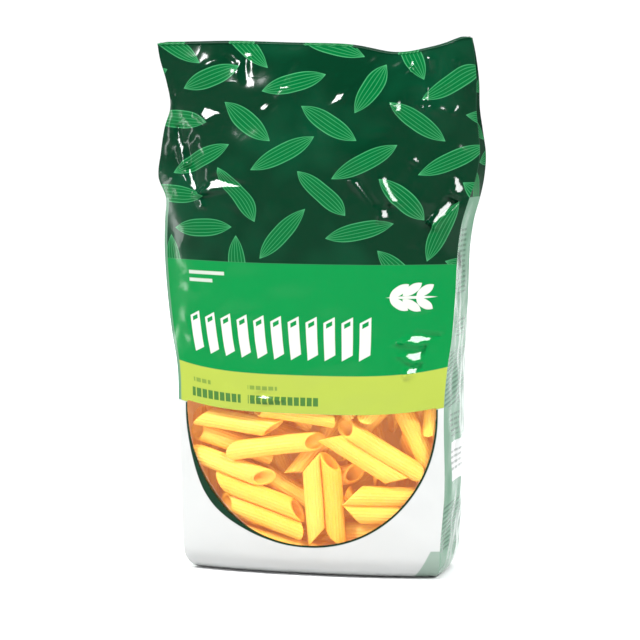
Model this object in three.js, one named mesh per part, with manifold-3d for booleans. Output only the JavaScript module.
// A pasta packet: a gusseted bag of thin glossy film that stands on a flat base. A round-bottomed clear
// window low on its front shows the penne inside. Millimetres, +Z up, the front faces -Y, and the base lies
// on z = 0.
import * as THREE from "three";
import { mergeVertices } from "three/addons/utils/BufferGeometryUtils.js";
import Module from "manifold-3d";

const wasm = await Module();
wasm.setup();

// Cross-sections of the full bag. left and right are the distances of its upright creases from the middle
// plane, front and back the depths in the middle of the two large panels, edge the depth of the creases, and
// tuck how far the side gusset is folded in (below zero it bulges).
const SECTIONS = [
  { z: 0, left: 64.5, right: 65, front: 31, back: 30, edge: 24, tuck: -1 },
  { z: 16, left: 65.5, right: 65.5, front: 34, back: 32, edge: 26, tuck: -1.5 },
  { z: 45, left: 66.5, right: 67.5, front: 36, back: 34, edge: 25.5, tuck: -2.5 },
  { z: 85, left: 67, right: 67.4, front: 37, back: 35, edge: 27.5, tuck: -2.5 },
  { z: 103, left: 68.5, right: 68.2, front: 36.5, back: 35, edge: 24.5, tuck: -1.5 },
  { z: 120, left: 72.6, right: 69.7, front: 36, back: 34.5, edge: 20, tuck: -0.5 },
  { z: 140, left: 75.6, right: 70.8, front: 35.5, back: 34, edge: 17.5, tuck: 1 },
  { z: 160, left: 77.1, right: 71.6, front: 34.5, back: 33.5, edge: 16.5, tuck: 2 },
  { z: 175, left: 76.8, right: 73.5, front: 33, back: 32, edge: 16.5, tuck: 3 },
  { z: 186, left: 76.5, right: 76.6, front: 31.5, back: 31, edge: 16, tuck: 4.5 },
  { z: 196, left: 81.3, right: 79.3, front: 29.5, back: 29, edge: 12.5, tuck: 7 },
  { z: 208, left: 81.2, right: 80.9, front: 26.5, back: 26.5, edge: 8.5, tuck: 10.5 },
  { z: 220, left: 80, right: 79.8, front: 23, back: 23, edge: 6, tuck: 14 },
  { z: 231, left: 77.2, right: 78.4, front: 19.5, back: 20, edge: 4.8, tuck: 16 },
  { z: 243, left: 79.5, right: 78.2, front: 14, back: 14.5, edge: 3.6, tuck: 17 },
  { z: 254, left: 83.2, right: 76.8, front: 7.5, back: 8, edge: 2.2, tuck: 13 },
  { z: 262, left: 85, right: 75.2, front: 1, back: 1, edge: 0.8, tuck: -0.4 },
];
const TOP = 262;
const PANEL_ROUND = 2.4; // exponent of the panels' crown: 2 makes it a parabola, more is flatter on top
const BASE_ROUND = { height: 11, width: 5, depth: 11 };

// The folded top edge waves: each swell is a bump of this height and half-width at x.
const TOP_SWELLS = [
  { x: 38, height: -4.2, width: 17 },
  { x: 73, height: 5, width: 10 },
  { x: -45, height: 0.8, width: 25 },
];
const SWELL_START = 225;

// Large folds that the film keeps where the fill ends, each a soft ridge along a line, or a valley where its
// height is below zero.
const FRONT_FOLDS = [
  { from: [-77, 234], to: [-54, 181], height: -2.6, width: 5 },
  { from: [75, 207], to: [52, 160], height: -2.3, width: 5 },
  { from: [16, 214], to: [47, 183], height: 1.7, width: 5 },
  { from: [-64, 203], to: [-24, 193], height: 1.6, width: 6 },
  { from: [-60, 256], to: [-34, 218], height: 1.3, width: 6 },
  { from: [60, 258], to: [50, 226], height: -1.6, width: 5 },
  { from: [-8, 246], to: [4, 206], height: -1.2, width: 8 },
];
const BACK_FOLDS = [
  { from: [-74, 226], to: [-50, 178], height: -2.4, width: 5 },
  { from: [72, 222], to: [46, 176], height: -2.4, width: 5 },
  { from: [-52, 214], to: [-18, 196], height: 1.5, width: 6 },
  { from: [22, 236], to: [34, 200], height: 1.3, width: 6 },
];

// On the back, the film's own seam is a flat strip, and the sealed top is folded over and lies flat as a
// flap.
const SEAM = { halfWidth: 5.5, side: 0.8, proud: 0.8, bottom: 14, top: 240 };
const FLAP = { bottom: 241, step: 0.6, proud: 1.2, reach: 0.95 };

// The window is a bowl below a top edge that rises by cornerRise towards its two corners.
const WINDOW = { x: 0.8, halfWidth: 63, top: 82.5, bottom: 16.3, exponent: 2.05 };
const WINDOW_TOP = { cornerRise: 4, exponent: 3.5, steps: 14 };
const WINDOW_STEPS = 44;
const RECESS = 14; // depth of the pocket behind the window that the penne fill
const GAP = 0.3;

// A piece of penne: its two radii, how deep its open ends are, the length of its axis, and how far its axis
// lies behind the film.
const PENNE = { radius: 4.9, bore: 3.5, boreDepth: 4.5, axis: 39, sides: 12, depth: 6.3 };
const CORE_DEPTH = 7.2; // the core's face lies this far behind the film, so the pieces stand proud of it

// The pieces against the window: the middle of each, the turn of its axis from level, the roll of its slanted
// ends about the axis, and how far it lies behind its neighbours.
const PIECES = [
  { x: 2.5, z: 39, turn: 90, roll: 90, sink: 0 },
  { x: 13.3, z: 43, turn: 91, roll: 250, sink: 0 },
  { x: -4.7, z: 75.5, turn: -1, roll: 20, sink: 0.2 },
  { x: -14.5, z: 61, turn: -1, roll: 190, sink: 0.4 },
  { x: -43.3, z: 80, turn: 4, roll: 90, sink: 0 },
  { x: -35, z: 70.5, turn: -17, roll: 260, sink: 3.4 },
  { x: -47.5, z: 67, turn: -24, roll: 0, sink: 0.4 },
  { x: -43.3, z: 53, turn: -8, roll: 200, sink: 0.8 },
  { x: -6.5, z: 41, turn: -35, roll: 0, sink: 2.6 },
  { x: -24, z: 39.5, turn: -32, roll: 110, sink: 0.4 },
  { x: -25, z: 30, turn: -27, roll: 10, sink: 1.4 },
  { x: -9, z: 21, turn: -24, roll: 0, sink: 1.2 },
  { x: 11, z: 97, turn: 109, roll: 180, sink: 0.8 },
  { x: 41, z: 93, turn: 58, roll: 180, sink: 0.4 },
  { x: 37, z: 62.5, turn: -30, roll: 0, sink: 0.8 },
  { x: 47.2, z: 67.6, turn: -55, roll: 90, sink: 0 },
  { x: 57, z: 74, turn: -70, roll: 250, sink: 0.8 },
  { x: 58, z: 57, turn: -60, roll: 90, sink: 1.6 },
  { x: 39.5, z: 47.5, turn: 0, roll: 260, sink: 0 },
  { x: 36.9, z: 37, turn: 4, roll: 80, sink: 0.2 },
  { x: 27.7, z: 27, turn: 13, roll: 270, sink: 0.6 },
  { x: 20, z: 18, turn: 6, roll: 90, sink: 1.6 },
  { x: 29, z: 55, turn: -27, roll: 250, sink: 1.8 },
];
// Behind them a second layer shows in the gaps: rows of pieces that lean to and fro.
const SECOND_LAYER = { left: -44, right: 50, columns: 4, low: 26, high: 76, rows: 4, lean: 38, sink: 4.2 };

const FRONT_COLUMNS = 26;
const SIDE_COLUMNS = 8;
const BACK_SIDE_COLUMNS = 9; // between a back crease and the seam
const LOW_ROW = 7; // height of a row of faces where the bag is smooth, and where it is folded
const HIGH_ROW = 4.2;
const FOLDED_FROM = 168;
const ROUNDING_ROWS = [0, 0.07, 0.22, 0.45, 0.72]; // shares of the base's rounding

// Slope of one measure at section i, from its neighbours.
function slopeAt(i, key) {
  const before = SECTIONS[Math.max(i - 1, 0)];
  const after = SECTIONS[Math.min(i + 1, SECTIONS.length - 1)];
  return (after[key] - before[key]) / (after.z - before.z);
}

// One measure at height z, smooth through the sections.
function measure(key, z) {
  let i = 0;
  while (i < SECTIONS.length - 2 && z > SECTIONS[i + 1].z) i++;
  const low = SECTIONS[i];
  const high = SECTIONS[i + 1];
  const span = high.z - low.z;
  const t = (z - low.z) / span;
  const startWeight = (1 + 2 * t) * (1 - t) ** 2;
  const endWeight = t * t * (3 - 2 * t);
  const startSlope = t * (1 - t) ** 2 * span * slopeAt(i, key);
  const endSlope = t * t * (t - 1) * span * slopeAt(i + 1, key);
  return startWeight * low[key] + endWeight * high[key] + startSlope + endSlope;
}

// Share by which the rounding of the base has drawn the form in at height z: 1 at the floor, 0 above it.
function baseShare(z) {
  const below = Math.max(1 - z / BASE_ROUND.height, 0);
  return 1 - Math.sqrt(1 - below * below);
}

function foldHeight(folds, x, z) {
  let sum = 0;
  for (const fold of folds) {
    const [x0, z0] = fold.from;
    const [x1, z1] = fold.to;
    const length = Math.hypot(x1 - x0, z1 - z0);
    const alongX = (x1 - x0) / length;
    const alongZ = (z1 - z0) / length;
    const along = ((x - x0) * alongX + (z - z0) * alongZ) / length;
    const across = (x - x0) * alongZ - (z - z0) * alongX;
    if (along <= 0 || along >= 1) continue;
    sum += fold.height * Math.sin(Math.PI * along) * Math.exp(-((across / fold.width) ** 2));
  }
  return sum;
}

// A point's height with the wave of the top edge added.
function waved(x, z) {
  let swell = 0;
  for (const s of TOP_SWELLS) swell += s.height * Math.exp(-(((x - s.x) / s.width) ** 2));
  return z + swell * THREE.MathUtils.smoothstep(z, SWELL_START, TOP);
}

// The section at height z with the base's rounding taken off.
function sectionAt(z) {
  const share = baseShare(z);
  const left = -(measure("left", z) - BASE_ROUND.width * share);
  const right = measure("right", z) - BASE_ROUND.width * share;
  return {
    left,
    right,
    edge: measure("edge", z) - BASE_ROUND.depth * share,
    front: measure("front", z) - BASE_ROUND.depth * share,
    back: measure("back", z) - BASE_ROUND.depth * share,
    tuck: measure("tuck", z),
  };
}

// A point on the front panel: a runs from -1 at the left crease to 1 at the right one.
function frontPoint(a, z, inset = 0) {
  const s = sectionAt(z);
  const x = (s.left + s.right) / 2 + (a * (s.right - s.left)) / 2;
  const crown = s.edge + (s.front - s.edge) * (1 - Math.abs(a) ** PANEL_ROUND);
  const depth = crown + foldHeight(FRONT_FOLDS, x, z) * (1 - a ** 6);
  return new THREE.Vector3(x, -(depth - inset), waved(x, z));
}

// How far the film at (a, x, z) on the back is raised by the seam and by the folded flap.
function backRelief(a, x, z) {
  const onFlap = z >= FLAP.bottom && Math.abs(a) <= FLAP.reach;
  const onSeam = Math.abs(x) <= SEAM.halfWidth + 0.01 && z >= SEAM.bottom && z <= SEAM.top;
  return (onFlap ? FLAP.proud : 0) + (onSeam ? SEAM.proud : 0);
}

function backPoint(a, z) {
  const s = sectionAt(z);
  const x = (s.left + s.right) / 2 + (a * (s.right - s.left)) / 2;
  const crown = s.edge + (s.back - s.edge) * (1 - Math.abs(a) ** PANEL_ROUND);
  const depth = crown + foldHeight(BACK_FOLDS, x, z) * (1 - a ** 6) + backRelief(a, x, z);
  return new THREE.Vector3(x, depth, waved(x, z));
}

// A point on a side gusset: side is 1 on the right, b runs from -1 at the front crease to 1 at the back one.
function sidePoint(side, b, z) {
  const s = sectionAt(z);
  const crease = side > 0 ? s.right : s.left;
  const roundness = 2 - 0.8 * THREE.MathUtils.clamp(s.tuck / 8, 0, 1); // a tucked gusset is a sharper fold
  const x = crease - side * s.tuck * (1 - Math.abs(b) ** roundness);
  return new THREE.Vector3(x, b * s.edge, waved(x, z));
}

// Values from start to end in even steps, both ends among them.
function evenly(start, end, steps) {
  return Array.from({ length: steps + 1 }, (_, i) => start + ((end - start) * i) / steps);
}

// Places across the back from right to left, with the seam's two edges among them.
function backStations(z) {
  const s = sectionAt(z);
  const half = (s.right - s.left) / 2;
  const middle = (s.left + s.right) / 2;
  const outer = SEAM.halfWidth + SEAM.side;
  const start = (outer - middle) / half;
  const end = (-outer - middle) / half;
  const stations = [1];
  stations.push(...evenly(FLAP.reach, start, BACK_SIDE_COLUMNS));
  for (const x of [SEAM.halfWidth, 0, -SEAM.halfWidth]) stations.push((x - middle) / half);
  stations.push(...evenly(end, -FLAP.reach, BACK_SIDE_COLUMNS));
  return stations;
}

// One closed ring of points round the bag at height z, anticlockwise from above, starting at the front left
// crease.
function ringAt(z, inset) {
  const ring = [];
  for (let i = 0; i < FRONT_COLUMNS; i++) ring.push(frontPoint((2 * i) / FRONT_COLUMNS - 1, z, inset));
  for (let i = 0; i < SIDE_COLUMNS; i++) ring.push(sidePoint(1, (2 * i) / SIDE_COLUMNS - 1, z));
  for (const a of backStations(z)) ring.push(backPoint(a, z));
  for (let i = 0; i < SIDE_COLUMNS; i++) ring.push(sidePoint(-1, 1 - (2 * i) / SIDE_COLUMNS, z));
  return ring;
}

// Heights of the rings: close together round the base's rounding and at the flap's edge.
function ringHeights() {
  const flapStart = FLAP.bottom - FLAP.step;
  const rows = (start, end, height) => evenly(start, end, Math.round((end - start) / height));
  return [
    ...ROUNDING_ROWS.map((share) => share * BASE_ROUND.height),
    ...rows(BASE_ROUND.height, FOLDED_FROM, LOW_ROW),
    ...rows(FOLDED_FROM, flapStart, HIGH_ROW).slice(1),
    ...rows(FLAP.bottom, TOP, HIGH_ROW),
  ];
}

// The full form of the bag as a closed mesh. inset moves the front panel back by that much.
function bagForm(inset = 0) {
  const rings = ringHeights().map((z) => ringAt(z, inset));
  const count = rings[0].length;
  const points = rings.flat();
  const faces = [];
  for (let r = 0; r + 1 < rings.length; r++) {
    for (let i = 0; i < count; i++) {
      const next = (i + 1) % count;
      const [a, b, c, d] = [r * count + i, r * count + next, (r + 1) * count + next, (r + 1) * count + i];
      faces.push(a, b, c, a, c, d);
    }
  }
  const last = (rings.length - 1) * count;
  for (const [a, b, c] of capFaces(rings[0])) faces.push(a, c, b);
  for (const [a, b, c] of capFaces(rings[rings.length - 1])) faces.push(last + a, last + b, last + c);
  const geometry = new THREE.BufferGeometry().setFromPoints(points);
  geometry.setIndex(faces);
  return geometry;
}

// Faces across a ring, facing up: a strip between its front half and its back half, from the left gusset to
// the right one.
function capFaces(ring) {
  const half = SIDE_COLUMNS / 2;
  const start = ring.length - half;
  const end = FRONT_COLUMNS + half;
  const front = [];
  for (let i = start; i < ring.length; i++) front.push(i);
  for (let i = 0; i <= end; i++) front.push(i);
  const back = [];
  for (let i = start; i >= end; i--) back.push(i);
  const faces = [];
  let [i, j] = [0, 1];
  while (i < front.length - 2 || j < back.length - 1) {
    const frontIsBehind = j === back.length - 1 || ring[front[i + 1]].x <= ring[back[j + 1]].x;
    if (i < front.length - 2 && (frontIsBehind || i === 0)) {
      faces.push([front[i], front[i + 1], back[j]]);
      i++;
    } else {
      faces.push([front[i], back[j + 1], back[j]]);
      j++;
    }
  }
  return faces;
}

// The window's outline, drawn in by trim.
function windowShape(trim) {
  const halfWidth = WINDOW.halfWidth - trim;
  const height = WINDOW.top - WINDOW.bottom - trim;
  const points = [];
  for (const angle of evenly(0, Math.PI, WINDOW_STEPS)) {
    const wide = Math.sign(Math.cos(angle)) * Math.abs(Math.cos(angle)) ** (2 / WINDOW.exponent);
    const deep = Math.sin(angle) ** (2 / WINDOW.exponent);
    points.push([-halfWidth * wide, WINDOW.top - height * deep]);
  }
  for (const across of evenly(1, -1, WINDOW_TOP.steps)) {
    const rise = WINDOW_TOP.cornerRise * Math.abs(across) ** WINDOW_TOP.exponent;
    points.push([halfWidth * across, WINDOW.top - trim + rise]);
  }
  return new THREE.Shape(points.map(([x, z]) => new THREE.Vector2(WINDOW.x + x, z)));
}

// The outline carried straight back from in front of the bag to its middle plane.
function windowPrism(trim) {
  const geometry = new THREE.ExtrudeGeometry(windowShape(trim), { depth: 60, bevelEnabled: false });
  return geometry.rotateX(Math.PI / 2);
}

// A ring of points round a penne at one end (-1 or 1), in the plane of its slanted cut, drawn in by back.
function penneRing(end, radius, back) {
  const points = [];
  for (let i = 0; i < PENNE.sides; i++) {
    const angle = (2 * Math.PI * i) / PENNE.sides;
    const y = radius * Math.sin(angle);
    const z = radius * Math.cos(angle);
    points.push(new THREE.Vector3(end * (PENNE.axis / 2 - back) + z, y, z));
  }
  return points;
}

// One piece of penne along x: a tube with parallel slanted ends, each end open for a short way.
function penneGeometry() {
  const { radius, bore, boreDepth, sides } = PENNE;
  const rings = [
    penneRing(-1, bore, boreDepth),
    penneRing(-1, bore, 0),
    penneRing(-1, radius, 0),
    penneRing(1, radius, 0),
    penneRing(1, bore, 0),
    penneRing(1, bore, boreDepth),
  ];
  const faces = [];
  for (let r = 0; r + 1 < rings.length; r++) {
    for (let i = 0; i < sides; i++) {
      const next = (i + 1) % sides;
      const [a, b, c, d] = [r * sides + i, (r + 1) * sides + i, (r + 1) * sides + next, r * sides + next];
      faces.push(a, b, c, a, c, d);
    }
  }
  const last = (rings.length - 1) * sides;
  for (let i = 1; i + 1 < sides; i++) faces.push(0, i, i + 1, last, last + i + 1, last + i);
  const geometry = new THREE.BufferGeometry().setFromPoints(rings.flat());
  geometry.setIndex(faces);
  return geometry;
}

// The point behind the front panel at this x and z, this deep.
function underFilm(x, z, depth) {
  const height = Math.max(z, 0);
  const s = sectionAt(height);
  const a = (2 * x - s.left - s.right) / (s.right - s.left);
  return frontPoint(THREE.MathUtils.clamp(a, -1, 1), height, depth);
}

// Where a piece lies: its middle under the film, its axis along the film's own slope.
function pieceMatrix(piece) {
  const turn = THREE.MathUtils.degToRad(piece.turn);
  const reach = PENNE.axis / 2;
  const dx = Math.cos(turn) * reach;
  const dz = Math.sin(turn) * reach;
  const start = underFilm(piece.x - dx, piece.z - dz, PENNE.depth + piece.sink);
  const end = underFilm(piece.x + dx, piece.z + dz, PENNE.depth + piece.sink);
  const along = end.clone().sub(start).normalize();
  const outward = new THREE.Vector3(0, -1, 0);
  const across = new THREE.Vector3().crossVectors(along, outward).normalize();
  const up = new THREE.Vector3().crossVectors(across, along);
  const middle = start.clone().add(end).multiplyScalar(0.5);
  const roll = new THREE.Matrix4().makeRotationX(THREE.MathUtils.degToRad(piece.roll));
  return new THREE.Matrix4().makeBasis(along, across.negate(), up).multiply(roll).setPosition(middle);
}

function secondLayer() {
  const layer = SECOND_LAYER;
  const pieces = [];
  evenly(layer.low, layer.high, layer.rows - 1).forEach((z, row) => {
    evenly(layer.left, layer.right, layer.columns - 1).forEach((x, column) => {
      const lean = (row + column) % 2 ? layer.lean : -layer.lean;
      pieces.push({ x, z, turn: lean, roll: lean, sink: layer.sink });
    });
  });
  return pieces;
}

// A three.js geometry as a solid for cutting and joining, and back.
function solidOf(geometry) {
  const bare = geometry.clone();
  bare.deleteAttribute("normal");
  bare.deleteAttribute("uv");
  const merged = mergeVertices(bare, 1e-4);
  const vertProperties = new Float32Array(merged.attributes.position.array);
  const triVerts = new Uint32Array(merged.index.array);
  return new wasm.Manifold(new wasm.Mesh({ numProp: 3, vertProperties, triVerts }));
}

function geometryOf(solid) {
  const mesh = solid.getMesh();
  const geometry = new THREE.BufferGeometry();
  geometry.setAttribute("position", new THREE.BufferAttribute(new Float32Array(mesh.vertProperties), 3));
  geometry.setIndex(new THREE.BufferAttribute(new Uint32Array(mesh.triVerts), 1));
  const flat = geometry.toNonIndexed();
  flat.computeVertexNormals();
  return flat;
}

// The largest body of a solid: this fills hollows that joining has sealed and drops loose scraps.
function largestBody(solid) {
  return solid.decompose().reduce((best, body) => (body.volume() > best.volume() ? body : best));
}

function bagSolid() {
  const pocket = solidOf(windowPrism(0)).subtract(solidOf(bagForm(RECESS)));
  return largestBody(solidOf(bagForm()).subtract(pocket));
}

// The penne that fill the pocket: one core with the pieces that show joined on, trimmed to the window.
function penneSolid() {
  const opening = solidOf(windowPrism(GAP));
  const front = solidOf(bagForm(CORE_DEPTH));
  let heap = front;
  for (const piece of [...PIECES, ...secondLayer()]) {
    heap = heap.add(solidOf(penneGeometry().applyMatrix4(pieceMatrix(piece))));
  }
  const inside = heap.intersect(opening).intersect(solidOf(bagForm(GAP)));
  return largestBody(inside.subtract(solidOf(bagForm(RECESS - GAP))));
}

function filmMaterial() {
  return new THREE.MeshStandardMaterial({ color: 0x063f27, roughness: 0.22, metalness: 0 });
}

function pastaMaterial() {
  return new THREE.MeshStandardMaterial({ color: 0xf6cf6c, roughness: 0.55, metalness: 0 });
}

function namedMesh(name, solid, material) {
  const mesh = new THREE.Mesh(geometryOf(solid), material);
  mesh.name = name;
  return mesh;
}

const packet = new THREE.Group();
packet.add(namedMesh("bag", bagSolid(), filmMaterial()));
packet.add(namedMesh("penne", penneSolid(), pastaMaterial()));

// The part's origin is the middle of its footprint.
const middle = new THREE.Box3().setFromObject(packet).getCenter(new THREE.Vector3());
packet.position.set(-middle.x, -middle.y, 0);

export default packet;
